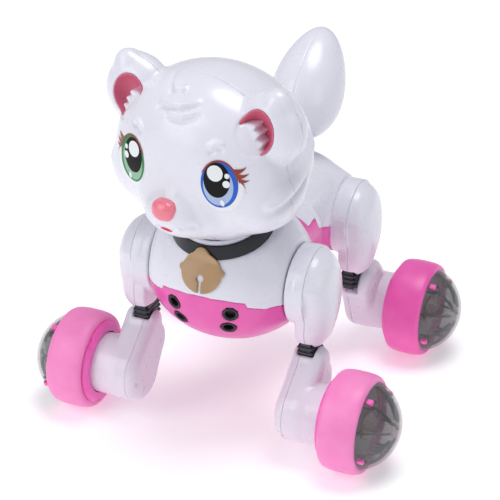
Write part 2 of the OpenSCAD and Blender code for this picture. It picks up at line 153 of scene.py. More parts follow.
def outline_distance(x, z, corners):
    """Distance to a flat closed outline, negative inside."""
    corners = np.array(corners, float)
    nearest = np.full(x.shape, 1e9)
    inside = np.zeros(x.shape, bool)
    for (ax, az), (bx, bz) in zip(corners, np.roll(corners, -1, 0)):
        ex, ez = bx - ax, bz - az
        t = np.clip(((x - ax) * ex + (z - az) * ez) / (ex * ex + ez * ez), 0.0, 1.0)
        nearest = np.minimum(nearest, np.hypot(x - ax - t * ex, z - az - t * ez))
        if ez:
            inside ^= ((az > z) != (bz > z)) & (x < ax + (z - az) * ex / ez)
    return np.where(inside, -nearest, nearest)


EAR_MID = (37, -20.5, 176)
CUP_MID = (36.0, -33, 177.3)
CUP_HALF = (9.0, 9.5, 11)
TUFT = ((20, 178), (30, 179.6), (35.2, 180.0), (34.0, 177.4), (37.2, 176.2), (35.4, 173.4),
        (39.2, 172.0), (37.6, 169.2), (40.6, 166.6), (37, 160), (20, 160))


def ear_form(side):
    d = egg(side, EAR_MID, (17.5, 12.5, 17.5))
    return join(d, blob(side, (39, -20, 184), 9, (42, -23, 190.5), 5.5), 5)


def ear_cup(side, inset=0.0):
    return egg(side, CUP_MID, [h - inset for h in CUP_HALF])


def head(p):
    side = mirrored(p)
    full = join(head_plain(p), ear_form(side), 1.8)
    tuft = within(outline_distance(side[..., 0], side[..., 2], TUFT), full + 0.9, 1.0)
    tuft = within(tuft, side[..., 1] + 22, 0.5)
    return join(carve(full, ear_cup(side), 1.2), tuft, 0.8)


FLAP_EDGE = ((-15, -20, 192), (-11.4, -31, 189.7), (-7.7, -35.5, 187.5), (-2.4, -34.8, 188.6))
FOLDS = (((-13, -40, 181), (0, -41.5, 182.5), (10, -38, 185)),
         ((-6, -43.2, 178.2), (3, -43.4, 178.6), (10.5, -40.5, 181.5)))
RIDGE = ((43.5, -38, 141.5), (47, -31.6, 145), (48.8, -22, 148.3), (48, -11, 152), (44.5, 2, 161),
         (40, 5, 172))
MUZZLE_LINE = ((3, -49, 144.5), (10, -48.5, 141), (16.3, -47.1, 132.4), (17.5, -44.5, 124))
BROW = ((18.3, -44.3, 169.5), (21.8, -42.8, 172.2), (25.6, -41.4, 172.2))
MOUTH_CORNER = ((8, -52.5, 128.6), (11.5, -51, 130.6), (15, -48.5, 131.2))
MOUTH_MID = (0.3, -52.5, 127.2)


def face_solid(p):
    """The head with its sculpted features."""
    d = head(p)
    side = mirrored(p)
    near, along = near_path(side, RIDGE)
    near_side = 0.3 + 0.7 * ramp(p[..., 0], -10, 10)
    d = d - 2.3 * near_side * bump(near, 2.8) * ramp(along, 0, 0.15) * (1 - ramp(along, 0.75, 1))
    near, along = near_path(side - np.array((0, 0, -4.4)), RIDGE)
    d = d + 2.0 * near_side * bump(near, 2.2) * ramp(along, 0, 0.15) * (1 - ramp(along, 0.6, 0.9))
    near, along = near_path(side, BROW)
    d = d - 1.3 * bump(near, 1.4) * mid_fade(along)
    near, along = near_path(side - np.array((0.3, -0.4, -2.5)), BROW)
    d = d + 0.9 * bump(near, 1.2) * mid_fade(along)
    near, along = near_path(side, MUZZLE_LINE)
    d = d + 0.55 * bump(near, 2.6) * mid_fade(along)
    for path in FOLDS:
        near, along = near_path(p, path)
        d = d + 1.7 * bump(near, 1.4) * mid_fade(along)
        near, along = near_path(p - np.array((0, 1.4, 2.6)), path)
        d = d - 1.3 * bump(near, 2.0) * mid_fade(along)
    near, along = near_path(p, FLAP_EDGE)
    d = d + 2.3 * bump(near, 1.5) * ramp(along, 0, 0.4)
    near, along = near_path(p - np.array((2.6, 1.2, 0.6)), FLAP_EDGE)
    d = d - 1.9 * bump(near, 2.6) * ramp(along, 0, 0.4) * (1 - ramp(along, 0.9, 1))
    near, along = near_path(side, MOUTH_CORNER)
    d = d + 1.1 * bump(near, 1.3) * mid_fade(along)
    d = d + 1.0 * bump(length((p - np.array(MOUTH_MID)) / np.array((3.6, 4, 1.2))), 1.0)
    return d


# ---- the torso --------------------------------------------------------------

CHEST = (0, 19.9, 83.3)
RUMP = (0, 101.5, 79.4)
NECK_LEAN = math.radians(16.8)
NECK_PLANE = 28.8
CHEST_UPPER = (42, 36.5, 39.5)
CHEST_LOWER = (42, 36.5, 33.8)
CHEST_REAR_Y = 39.4
WAIST_HALF_X = 24.8


def in_neck(p):
    """Points measured from the middle of the neck's mouth, along its leaning axis."""
    q = p - np.array(CHEST)
    c, s = math.cos(NECK_LEAN), math.sin(NECK_LEAN)
    return np.stack([q[..., 0], c * q[..., 1] + s * q[..., 2],
                     -s * q[..., 1] + c * q[..., 2] - NECK_PLANE], -1)


def chest_ball(p):
    """The chest's round body, a little flatter below its middle than above."""
    upper = egg(p, CHEST, CHEST_UPPER)
    lower = egg(p, CHEST, CHEST_LOWER)
    return np.where(p[..., 2] > CHEST[2], upper, lower)


def chest(p):
    """The chest with its flat sides and rear, its neck ring and the cup in it."""
    d = chest_ball(p)
    q = in_neck(p)
    r = np.hypot(q[..., 0], q[..., 1])
    d = within(d, q[..., 2], 1.0)
    cone = within(r - 24 + 0.372 * q[..., 2], np.abs(q[..., 2] - 3.5) - 4.5, 0.8)
    d = join(d, cone, 1.0)
    d = carve(d, within(r - 19.2, -3 - q[..., 2], 0.5), 0.6)
    d = within(d, np.abs(p[..., 0]) - 35.3, 1.2)
    d = d - 0.45 * bump(p[..., 1] - 38.4, 0.9)
    return within(d, p[..., 1] - CHEST_REAR_Y, 0.8)


def back_form(p):
    """The waist and the flat-sided rump behind the chest."""
    waist = blob(p * (0.8, 1, 1), (0, 34, 90), 25, (0, 97, 87.5), 24.5)
    hips = np.hypot(p[..., 1] - RUMP[1], p[..., 2] - RUMP[2]) - 18.2
    outward = np.abs(p[..., 0])
    hips = within(hips - 1.4 * ramp(outward, 15, 22), outward - WAIST_HALF_X, 1.2)
    sides = outward - WAIST_HALF_X - 400 * (p[..., 1] < 60)
    return join(within(waist, sides, 4), hips, 8)


# ---- a leg: X outward from the body's side, hip or knee at the origin --------

DRUM_R = 19.8
SEAM_X = 9.9
TUBE_R = 15.3
ANKLE_Z = -28.5
SHIN_SEAM_X = 6.4


def flat_bar(y, z, a, ra, b, rb):
    """Distance to a flat round-ended bar in Y and Z."""
    ey, ez = b[0] - a[0], b[1] - a[1]
    t = np.clip(((y - a[0]) * ey + (z - a[1]) * ez) / (ey * ey + ez * ez), 0.0, 1.0)
    return np.hypot(y - a[0] - t * ey, z - a[1] - t * ez) - (ra + (rb - ra) * t)


def thigh(p):
    """The hip drum, the domed pillow outside it and the lobe over the knee."""
    x, y, z = p[..., 0], p[..., 1], p[..., 2]
    drum = within(np.hypot(y, z) - DRUM_R, np.abs(x - 5.2) - 4.9, 1.2)
    outline = flat_bar(y, z, (0, 0), DRUM_R, (-5.5, -19), 10)
    outer = egg(p, (0, -4, -6), (21, 31, 42))
    pillow = within(within(outline, outer, 10), 4.9 - x, 1.0)
    lobe = within(egg(p, (10, -6.5, -17.5), (8, 9.5, 11.5)), 2.2 - x, 2.0)
    d = join(drum, join(pillow, lobe, 3), 0.8)
    notch = within(np.abs(x - 8.3) - 4.2, z + 25.5, 1.0)
    return carve(d, notch, 1.4)


def shin(p):
    """The shin blade with its ankle tube, open on top for the knee link."""
    x, y, z = p[..., 0], p[..., 1], p[..., 2]
    outline = flat_bar(y, z, (0, ANKLE_Z), TUBE_R, (4.5, -13), 11.8)
    outline = np.minimum(outline, flat_bar(y, z, (4.5, -13), 11.8, (0, -3.6), 7))
    outline = join(outline, flat_bar(y, z, (0, ANKLE_Z), TUBE_R, (0, -3.6), 7), 2)
    blade = within(outline, np.abs(x - 9.9) - 8.9, 7)
    tube = within(np.hypot(y, z - ANKLE_Z) - TUBE_R, np.abs(x - 17.6) - 11, 1.0)
    d = join(blade, within(tube, 10 - x, 4), 1.2)
    mouth = within(np.abs(x - 8.8) - 4.3, -2.8 - z, 1.0)
    d = carve(d, mouth, 1.4)
    return carve(d, egg(p, (0.6, -10.1, -35.3), (1.8, 1.7, 1.7)), 0.4)


# ---- meshes from distance functions ------------------------------------------

PROBE = 0.03
SMOOTH_ROUNDS = 5
SLAB = 12


def gradient(shape, points):
    slopes = [shape(points + PROBE * axis) - shape(points - PROBE * axis) for axis in np.eye(3)]
    return np.stack(slopes, -1) / (2 * PROBE)


def settle(shape, points):
    """Moves points one step onto the surface."""
    slope = gradient(shape, points)
    return points - slope * (shape(points) / ((slope ** 2).sum(-1) + 1e-6))[:, None]


def skin(shape, low, high, cell):
    """The closed surface of a distance function, as points and four-sided faces. Each cell that
    the surface crosses gets one point, then the points are evened out along the surface."""
    low = np.array(low, float)
    counts = np.ceil((np.array(high) - low) / cell).astype(int) + 1
    axes = [low[i] + cell * np.arange(counts[i]) for i in range(3)]
    away = np.empty(counts, np.float32)
    for i in range(0, counts[0], SLAB):
        block = np.stack(np.meshgrid(axes[0][i:i + SLAB], axes[1], axes[2], indexing="ij"), -1)
        away[i:i + SLAB] = shape(block)
    inside = away < 0
    filled = sum(inside[a:counts[0] - 1 + a, b:counts[1] - 1 + b, c:counts[2] - 1 + c].astype(int)
                 for a, b, c in itertools.product((0, 1), repeat=3))
    mixed = (filled > 0) & (filled < 8)
    number = np.full(mixed.shape, -1)
    number[mixed] = np.arange(mixed.sum())
    cells = np.argwhere(mixed)
    total = np.zeros((len(cells), 3))
    hits = np.zeros((len(cells), 1))
    for axis, a, b in itertools.product(range(3), (0, 1), (0, 1)):
        start = np.roll((0, a, b), axis)
        forward = np.eye(3, dtype=int)[axis]
        first, last = (away[tuple((cells + start + go * forward).T)] for go in (0, 1))
        crossed = (first < 0) != (last < 0)
        part = first[crossed] / (first[crossed] - last[crossed])
        total[crossed] += start + part[:, None] * forward
        hits[crossed] += 1
    points = low + cell * (cells + total / hits)
    faces = []
    for axis in range(3):
        u, v = (axis + 1) % 3, (axis + 2) % 3
        lower = [slice(1, -1)] * 3
        upper = [slice(1, -1)] * 3
        lower[axis] = slice(0, -1)
        upper[axis] = slice(1, None)
        starts = inside[tuple(lower)]
        spots = np.argwhere(starts != inside[tuple(upper)])
        outward = starts[tuple(spots.T)]
        step_u, step_v = np.eye(3, dtype=int)[u], np.eye(3, dtype=int)[v]
        ring = [number[tuple((spots + off).T)]
                for off in (0 * step_u, step_u, step_u + step_v, step_v)]
        ring = np.stack(ring, -1)
        faces += [ring[outward], ring[~outward][:, ::-1]]
    faces = np.concatenate(faces)
    count = 2 * np.bincount(faces.ravel(), minlength=len(points))
    for turn in range(SMOOTH_ROUNDS):
        total = np.zeros_like(points)
        for k in range(4):
            near = points[faces[:, (k + 1) % 4]] + points[faces[:, k - 1]]
            for i in range(3):
                total[:, i] += np.bincount(faces[:, k], near[:, i], len(points))
        points = 0.3 * points + 0.7 * total / count[:, None]
        if turn > 0:
            points = settle(shape, points)
    return settle(shape, points), faces


def body_from(points, faces):
    bm = bmesh.new()
    verts = [bm.verts.new(p) for p in points]
    for face in faces:
        bm.faces.new([verts[i] for i in face])
    bm.normal_update()
    return bm


def warp(bm, axis, height, sign):
    """Slides every point along an axis by a height that depends on the other two."""
    points = np.array([v.co for v in bm.verts])
    points[:, axis] += sign * height(points)
    for v, p in zip(bm.verts, points):
        v.co = p


SEAM_GAP = 0.04


def half_of(bm, axis, height, keep, lip=0.3, edge=0.45):
    """One side of a closed skin, parted where its coordinate on an axis is height(p), with
    a small bevel at the parting line and a closed cap behind it. keep is 1 or -1."""
    bm = bm.copy()
    direction = Vector(np.eye(3)[axis])
    warp(bm, axis, height, -1)
    bm.normal_update()
    for offset, cut in ((edge, False), (SEAM_GAP, True)):
        everything = list(bm.verts) + list(bm.edges) + list(bm.faces)
        bmesh.ops.bisect_plane(bm, geom=everything, dist=1e-5, plane_no=direction,
                               plane_co=direction * offset * keep,
                               clear_outer=cut and keep < 0, clear_inner=cut and keep > 0)
    warp(bm, axis, height, 1)
    bm.normal_update()
    rim = [e for e in bm.edges if e.is_boundary]
    moves = {v: v.normal.copy() for e in rim for v in e.verts}
    for v, normal in moves.items():
        v.co -= normal * lip
    bmesh.ops.holes_fill(bm, edges=rim, sides=0)
    caps = [f for f in bm.faces if len(f.verts) > 4]
    bmesh.ops.triangulate(bm, faces=caps)
    bm.normal_update()
    return bm


def groove_at(bm, axis, height, deep=0.3, wide=0.4):
    """A fine V-shaped line pressed into a skin along a parting surface."""
    direction = Vector(np.eye(3)[axis])
    warp(bm, axis, height, -1)
    for offset in (-wide, 0, wide):
        everything = list(bm.verts) + list(bm.edges) + list(bm.faces)
        bmesh.ops.bisect_plane(bm, geom=everything, dist=1e-5, plane_co=direction * offset,
                               plane_no=direction)
    line = [v for v in bm.verts if abs(v.co[axis]) < 1e-4]
    warp(bm, axis, height, 1)
    bm.normal_update()
    moves = [(v, v.normal.copy()) for v in line]
    for v, normal in moves:
        v.co -= normal * deep


def lathe(profile, steps=96, radius_change=None):
    """A closed ring or ball about +X from points (radius, x). Points on the axis close it."""
    bm = bmesh.new()
    rings = []
    for r, x in profile:
        if r < 1e-6:
            rings.append([bm.verts.new((x, 0, 0))])
            continue
        ring = []
        for i in range(steps):
            turn = 2 * math.pi * i / steps
            rr = r + (radius_change(r, x, turn) if radius_change else 0)
            ring.append(bm.verts.new((x, rr * math.cos(turn), rr * math.sin(turn))))
        rings.append(ring)
    pairs = list(zip(rings, rings[1:]))
    if len(rings[0]) > 1:
        pairs.append((rings[-1], rings[0]))
    for a, b in pairs:
        for i in range(steps):
            corners = [a[i % len(a)], a[(i + 1) % steps % len(a)],
                       b[(i + 1) % steps % len(b)], b[i % len(b)]]
            corners = list(dict.fromkeys(corners))
            if len(corners) > 2:
                bm.faces.new(corners)
    bmesh.ops.recalc_face_normals(bm, faces=bm.faces)
    return bm


def rounded(corners, radius, steps=5):
    """A closed outline with each corner turned into an arc."""
    out = []
    count = len(corners)
    for i in range(count):
        a, b, c = (np.array(corners[(i + k) % count], float) for k in (-1, 0, 1))
        u, v = (a - b) / np.linalg.norm(a - b), (c - b) / np.linalg.norm(c - b)
        half = math.acos(np.clip(u @ v, -1, 1)) / 2
        r = min(radius, 0.45 * math.tan(half) * min(np.linalg.norm(a - b), np.linalg.norm(c - b)))
        if half > 1.5 or r < 1e-3:
            out.append(b)
            continue
        reach = r / math.tan(half)
        middle = b + (u + v) / np.linalg.norm(u + v) * r / math.sin(half)
        start, end = b + u * reach - middle, b + v * reach - middle
        for k in range(steps + 1):
            mix = start * (1 - k / steps) + end * (k / steps)
            out.append(middle + mix / np.linalg.norm(mix) * r)
    return [tuple(p) for p in out]


def box_mesh(bm, low, high, bevel=0.3):
    """A small block with soft edges, added to a mesh."""
    made = bmesh.ops.create_cube(bm, size=1)
    low, high = Vector(low), Vector(high)
    for v in made["verts"]:
        v.co = Vector((low[i] + (v.co[i] + 0.5) * (high[i] - low[i]) for i in range(3)))
    edges = {e for v in made["verts"] for e in v.link_edges}
    bmesh.ops.bevel(bm, geom=list(edges), offset=bevel, segments=2, affect="EDGES")


# ---- putting pieces in place ----------------------------------------------------

def shift(x, y, z):
    return Matrix.Translation((x, y, z))


FROM_AXLE = shift(0, AXLE_Y, 0)
ON_HEAD = shift(*HEAD_PIVOT) @ Matrix.Rotation(HEAD_YAW, 4, "Z")
ON_NECK = (FROM_AXLE @ shift(*CHEST) @ Matrix.Rotation(NECK_LEAN, 4, "X") @ shift(0, 0, NECK_PLANE))


def handed(leg):
    """Mirrors a shape drawn for the left legs onto a right leg."""
    return Matrix.Diagonal((1 if leg[1] == "l" else -1, 1, 1, 1))


def on_hip(leg):
    return shift(*PLACES["hip_" + leg]) @ handed(leg)


def on_knee(leg):
    knee, wheel = PLACES["knee_" + leg], PLACES["wheel_spin_" + leg]
    turn = math.atan2(wheel[1] - knee[1], knee[2] - wheel[2])
    return shift(*knee) @ handed(leg) @ Matrix.Rotation(turn, 4, "X")


def on_wheel(leg):
    return shift(*PLACES["wheel_spin_" + leg]) @ handed(leg)


CREASE = math.radians(40)


def piece(name, bm, place, body, nodes, material, painted_reflection=None):
    """Puts a mesh drawn in millimetres in place, hangs it on its body and hides the model's parts
    that it stands for.
    """
    mesh = bpy.data.meshes.new(name)
    copy = bm.copy()
    # Painted pink reflection: how much of it each point gets, stored on the mesh.
    if painted_reflection:
        layer = copy.verts.layers.float.new("painted_reflection")
        amounts = painted_reflection(np.array([v.co for v in copy.verts]))
        for v, amount in zip(copy.verts, amounts):
            v[layer] = float(amount)
    copy.transform(Matrix.Diagonal((MM, MM, MM, 1)) @ place)
    if place.determinant() < 0:
        bmesh.ops.reverse_faces(copy, faces=copy.faces)
    copy.to_mesh(mesh)
    copy.free()
    mesh.shade_smooth()
    mesh.set_sharp_from_angle(angle=CREASE)
    obj = bpy.data.objects.new(name, mesh)
    bpy.context.scene.collection.objects.link(obj)
    for m in material if isinstance(material, (list, tuple)) else [material]:
        mesh.materials.append(m)
    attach(obj, body)
    if nodes:
        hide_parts(*nodes)
    return obj


# ---- materials ---------------------------------------------------------------------

def plastic(name, colour, deep, rough, coat=0.0, grain=0.02, painted_reflection=None, alpha=1.0, metal=0.0,
            patch=90, shine=0.5, glow=0.0):
    """A moulded surface: colour and gloss vary a little, with a fine skin texture, and an optional
    painted pink reflection, mixed in by an amount stored on the mesh."""
    made = bpy.data.materials.new(name)
    made.use_nodes = True
    tree = made.node_tree
    new, link = tree.nodes.new, tree.links.new
    shader = tree.nodes["Principled BSDF"]
    place = new("ShaderNodeTexCoord").outputs["Object"]

    def noise(scale, detail=3):
        node = new("ShaderNodeTexNoise")
        node.inputs["Scale"].default_value = scale
        node.inputs["Detail"].default_value = detail
        link(place, node.inputs["Vector"])
        return node.outputs["Fac"]

    def mixed(amount, a, b):
        node = new("ShaderNodeMix")
        node.data_type = "RGBA"
        link(amount, node.inputs["Factor"])
        for socket, value in ((node.inputs["A"], a), (node.inputs["B"], b)):
            if isinstance(value, tuple):
                socket.default_value = (*value, 1)
            else:
                link(value, socket)
        return node.outputs["Result"]

    def spread(value, low, high):
        node = new("ShaderNodeMapRange")
        link(value, node.inputs["Value"])
        node.inputs["From Min"].default_value = 0.3
        node.inputs["From Max"].default_value = 0.7
        node.inputs["To Min"].default_value = low
        node.inputs["To Max"].default_value = high
        return node.outputs["Result"]

    paint = mixed(spread(noise(patch), 0, 1), colour, deep)
    # Painted pink reflection of the wheels, mixed in by the amount stored on the mesh.
    if painted_reflection:
        attribute = new("ShaderNodeAttribute")
        attribute.attribute_name = "painted_reflection"
        paint = mixed(attribute.outputs["Fac"], paint, painted_reflection)
    link(paint, shader.inputs["Base Color"])
    link(spread(noise(260), rough * 0.96, rough * 1.05), shader.inputs["Roughness"])
    relief = new("ShaderNodeBump")
    relief.inputs["Strength"].default_value = grain
    relief.inputs["Distance"].default_value = 0.0004
    link(noise(1400, 2), relief.inputs["Height"])
    link(relief.outputs["Normal"], shader.inputs["Normal"])
    shader.inputs["Specular IOR Level"].default_value = shine
    shader.inputs["Emission Color"].default_value = (1, 1, 1, 1)
    shader.inputs["Emission Strength"].default_value = glow
    shader.inputs["Metallic"].default_value = metal
    shader.inputs["Coat Weight"].default_value = coat
    shader.inputs["Coat Roughness"].default_value = 0.08
    shader.inputs["Alpha"].default_value = alpha
    return made


# White plastic; its second colour is a painted pink reflection of the wheels.
WHITE = plastic("white_abs", (0.755, 0.755, 0.83), (0.735, 0.735, 0.81), 0.28, coat=0.2,
                grain=0.004, painted_reflection=(0.86, 0.60, 0.76))
BELLY_PINK = plastic("belly_pink", (0.80, 0.10, 0.42), (0.74, 0.08, 0.38), 0.3, coat=0.25,
                     grain=0.004)
HUB_PINK = plastic("hub_pink", (0.93, 0.14, 0.52), (0.88, 0.11, 0.47), 0.36, coat=0.1)
TYRE_PINK = plastic("tyre_pink", (0.93, 0.27, 0.58), (0.88, 0.22, 0.53), 0.42, grain=0.02)
TYRE_DEEP = plastic("tyre_magenta", (0.90, 0.13, 0.48), (0.84, 0.10, 0.43), 0.36, grain=0.02)
CHARCOAL = plastic("charcoal", (0.036, 0.038, 0.050), (0.028, 0.029, 0.038), 0.42, grain=0.1)
BLACK = plastic("collar_black", (0.006, 0.007, 0.012), (0.010, 0.011, 0.018), 0.28,
                grain=0.004, shine=0.35)
PORT_BLACK = plastic("port_black", (0.008, 0.008, 0.01), (0.014, 0.014, 0.016), 0.5, grain=0.1)
BELL = plastic("bell_gold", (0.47, 0.30, 0.16), (0.39, 0.24, 0.12), 0.34, grain=0.004,
               patch=60)
CORAL = plastic("nose_coral", (0.86, 0.21, 0.28), (0.80, 0.18, 0.25), 0.25, coat=0.3)
ROSE = plastic("ear_rose", (0.72, 0.15, 0.25), (0.65, 0.12, 0.21), 0.45)
RED = plastic("mouth_red", (0.60, 0.03, 0.06), (0.5, 0.02, 0.05), 0.4)
SMOKE = plastic("smoke_clear", (0.105, 0.108, 0.11), (0.17, 0.172, 0.175), 0.1, coat=0.6,
                alpha=0.42, patch=110)
RIB = plastic("smoke_rib", (0.03, 0.034, 0.05), (0.045, 0.048, 0.06), 0.25, coat=0.3)
WELL = plastic("well_grey", (0.46, 0.44, 0.44), (0.82, 0.79, 0.79), 0.3, patch=120)
FOIL = plastic("foil", (0.75, 0.70, 0.62), (0.5, 0.42, 0.40), 0.18, metal=1.0, patch=500)
LAMP_RED = plastic("lamp_red", (0.42, 0.02, 0.04), (0.30, 0.02, 0.05), 0.2, coat=0.5)
STEEL = plastic("steel", (0.55, 0.55, 0.57), (0.45, 0.45, 0.47), 0.28, metal=1.0, patch=300)
BOARD = plastic("board_green", (0.02, 0.18, 0.07), (0.015, 0.13, 0.05), 0.35, patch=400)
WRAP = plastic("battery_wrap", (0.70, 0.48, 0.08), (0.6, 0.4, 0.06), 0.25, coat=0.3)
CONE = plastic("speaker_cone", (0.02, 0.02, 0.02), (0.035, 0.035, 0.035), 0.6, grain=0.2)
GREY = plastic("neck_grey", (0.55, 0.55, 0.60), (0.5, 0.5, 0.55), 0.4)
INK = {
    "white": plastic("print_white", (0.80, 0.82, 0.83), (0.78, 0.80, 0.82), 0.3, shine=0.4),
    "black": plastic("print_black", (0.004, 0.004, 0.005), (0.007, 0.006, 0.007), 0.5,
                     grain=0.004, shine=0.15),
    "lash": plastic("print_lash", (0.30, 0.035, 0.014), (0.26, 0.03, 0.012), 0.3),
    "blue": plastic("print_blue", (0.020, 0.115, 0.56), (0.018, 0.10, 0.50), 0.4, shine=0.3),
    "blue_pale": plastic("print_blue_pale", (0.40, 0.50, 0.72), (0.36, 0.46, 0.68), 0.4, shine=0.3),
    "green": plastic("print_green", (0.022, 0.22, 0.065), (0.02, 0.19, 0.055), 0.4, shine=0.3),
    "green_pale": plastic("print_green_pale", (0.30, 0.50, 0.36), (0.26, 0.45, 0.32), 0.4,
                          shine=0.3),
}
KEPT = {"batteries": WRAP, "main_board": BOARD, "speaker": CONE, "head_motor": STEEL,
        "neck_post": GREY, **{"wheel_shaft_" + leg: STEEL for leg in LEGS}}
for kept_node, kept_material in KEPT.items():
    kept_mesh = frame["nodes"][kept_node].data
    kept_mesh.materials.clear()
    kept_mesh.materials.append(kept_material)


def add_part(bm, part):
    """Adds a copy of one mesh to another."""
    spare = bpy.data.meshes.new("spare")
    part.to_mesh(spare)
    bm.from_mesh(spare)
    bpy.data.meshes.remove(spare)


# ---- the torso -----------------------------------------------------------------------

def chest_seam(p):
    """Height of the line between the white chest and the pink belly: it falls to the rear,
    with a small step near each side."""
    side = np.abs(p[:, 0])
    return 85.3 - 0.33 * (p[:, 1] + 15.3) - 2.2 * ramp(side, 21.5, 22.5) + 2.2 * ramp(side, 28, 36)


def back_seam(p):
    """The zigzag lower edge of the white back, then a level line along the hips."""
    y = p[:, 1]
    zig = np.interp(y, (39, 47.5, 56, 57.5, 81, 86, 92, 130), (113, 98.5, 99, 93, 82, 80, 68, 66))
    return zig - 0.4 * (27 - np.minimum(np.abs(p[:, 0]), 27))


PORTS = ((14.8, -13.7, 77.7), (12.7, -11.1, 68.7))
PORT_HOLE_R = 3.9
SCREWS = ((-18, 50), (18, 50), (-17, 78), (17, 78))
SWITCH_Y = 61


def port_way(x, y, z):
    """The direction straight out of the chest at a port."""
    out = (np.array((x, y, z)) - np.array(CHEST)) / np.array(CHEST_LOWER) ** 2
    return out / np.linalg.norm(out)


def door_block(p, grow):
    """The block that the battery door fills, under the chest."""
    return np.maximum.reduce([np.abs(p[..., 0]) - 22 - grow, np.abs(p[..., 1] - 20) - 19 - grow,
                              p[..., 2] - 57 - grow])


def belly_front(p):
    """The chest with the door's opening and the port holes cut."""
    d = carve(chest(p), door_block(p, 0.3), 0.5)
    for port in PORTS:
        out = port_way(*port)
        from_port = mirrored(p) - np.array(port)
        along = from_port @ out
        d = carve(d, within(length(from_port - along[..., None] * out) - PORT_HOLE_R,
                            np.abs(along) - 6, 0.3), 0.5)
    return d


def battery_hatch(p):
    """The curved plate of the battery door."""
    d = within(chest(p), door_block(p, 0), 0.5)
    return carve(d, egg(p, CHEST, (39.4, 33.9, 31.2)), 0.4)


def make_torso():
    whole = body_from(*skin(chest, (-38, -20, 42), (38, 42, 122), 0.9))
    piece("chest_casing", half_of(whole, 2, chest_seam, 1), FROM_AXLE, "torso",
          ["chest_shell"], WHITE)
    back = body_from(*skin(back_form, (-34, 5, 50), (34, 126, 120), 1.0))
    piece("back_casing", half_of(back, 2, back_seam, 1), FROM_AXLE, "torso",
          ["back_shell"], WHITE)
    pink = half_of(body_from(*skin(belly_front, (-38, -20, 42), (38, 42, 122), 0.8)),
                   2, chest_seam, -1)
    rear = half_of(back, 2, back_seam, -1)
    add_part(pink, rear)
    piece("belly_casing", pink, FROM_AXLE, "torso", ["belly_shell"], BELLY_PINK)
    hatch = body_from(*skin(battery_hatch, (-24, -1, 42), (24, 41, 60), 0.6))
    piece("battery_hatch", hatch, FROM_AXLE, "battery_door", ["battery_door"],
          BELLY_PINK)


def underside(x, y):
    """Height of the casing's lower surface at a place under the waist."""
    z = np.arange(50, 90, 0.05)
    column = np.stack([0 * z + x, 0 * z + y, z], -1)
    return float(z[np.argmax(back_form(column) < 0)])


def make_underside():
    screws = bmesh.new()
    for x, y in SCREWS:
        head = lathe(rounded([(0.01, 0.6), (1.0, 0.6), (1.2, 0), (2.7, 0), (2.7, 1.9), (1.45, 1.9),
                              (1.45, 12), (0.01, 12)], 0.15, 2), 32)
        head.transform(shift(x, y, underside(x, y) - 0.1) @ Matrix.Rotation(-math.pi / 2, 4, "Y"))
        add_part(screws, head)
    piece("casing_screws", screws, FROM_AXLE, "torso", ["case_screws"], STEEL)
    knob = bmesh.new()
    low = underside(0, SWITCH_Y)
    box_mesh(knob, (-4, SWITCH_Y - 3.5, low - 0.35), (4, SWITCH_Y + 3.5, low + 0.6), 0.3)
    box_mesh(knob, (-2, SWITCH_Y - 2.5, low - 1.9), (2, SWITCH_Y + 2.5, low + 0.2), 0.4)
    for i in range(3):
        y = SWITCH_Y - 1.5 + 1.4 * i
        box_mesh(knob, (-1.8, y, low - 2.2), (1.8, y + 0.6, low - 1.7), 0.12)
    piece("switch_knob", knob, FROM_AXLE, "power_switch", ["power_switch"], BLACK)


def make_ports():
    bm = bmesh.new()
    for port in PORTS:
        for side in (1, -1):
            spot = (side * port[0], *port[1:])
            out = Vector(port_way(*port))
            out.x *= side
            ring = lathe(rounded([(2.4, -3), (3.85, -3), (3.85, 0.4), (2.4, -0.2)], 0.4), 40)
            floor = lathe([(0, -2.6), (2.6, -2.6), (2.6, -3.1), (0, -3.1)], 40)
            for part in (ring, floor):
                part.transform(shift(*spot) @ out.to_track_quat("X", "Z").to_matrix().to_4x4())
                add_part(bm, part)
    piece("port_rings", bm, FROM_AXLE, "torso", ["sound_ports"], PORT_BLACK)


def make_collar():
    outline = rounded([(24.05, 0.1), (25.2, 0.1), (22.75, 6.9), (21.6, 6.9)], 0.45)
    band = lathe(outline, 128)
    band.transform(Matrix.Rotation(-math.pi / 2, 4, "Y"))
    piece("collar", band, ON_NECK, "torso", ["collar_band"], BLACK)


BELL_TILT = math.radians(68)


def bell_outline(p):
    """The bell plate's outline on its own face: a disc with three lugs and a keyhole."""
    x, y = p[..., 0], p[..., 1]
    d = np.hypot(x, y - 0.3) - 10.2
    d = join(d, np.hypot(x, y - 9.4) - 3.3, 1.6)
    d = join(d, np.hypot(np.abs(x) - 9.9, y - 1.6) - 1.7, 1.2)
    key = np.minimum(np.hypot(x, y + 2.6) - 1.9, np.maximum(np.abs(x) - 0.85, y + 2.6))
    return within(d, -key, 0.3)


def make_bell():
    c, s = math.cos(BELL_TILT), math.sin(BELL_TILT)

    def plate(q):
        world = np.stack([q[..., 0], c * q[..., 1] - s * q[..., 2],
                          s * q[..., 1] + c * q[..., 2]], -1) + np.array(CHEST)
        above = chest_ball(world)
        layer = within(above - 1.2 - 4.0 * ramp(q[..., 1], 5, 12.5), -0.3 - above, 0.1)
        return within(within(bell_outline(q), layer, 0.3), 30 - q[..., 2], 0.1)

    bm = body_from(*skin(plate, (-13, -12, 31), (13, 14, 44), 0.35))
    piece("bell", bm, FROM_AXLE @ shift(*CHEST) @ Matrix.Rotation(BELL_TILT, 4, "X"), "torso",
          ["bell_badge"], BELL)


TAIL_MID = (0, 116.5, 142.5)
TAIL_LEAN = math.radians(-39.95)
TAIL_R = 18.55
TAIL_HALF = 30


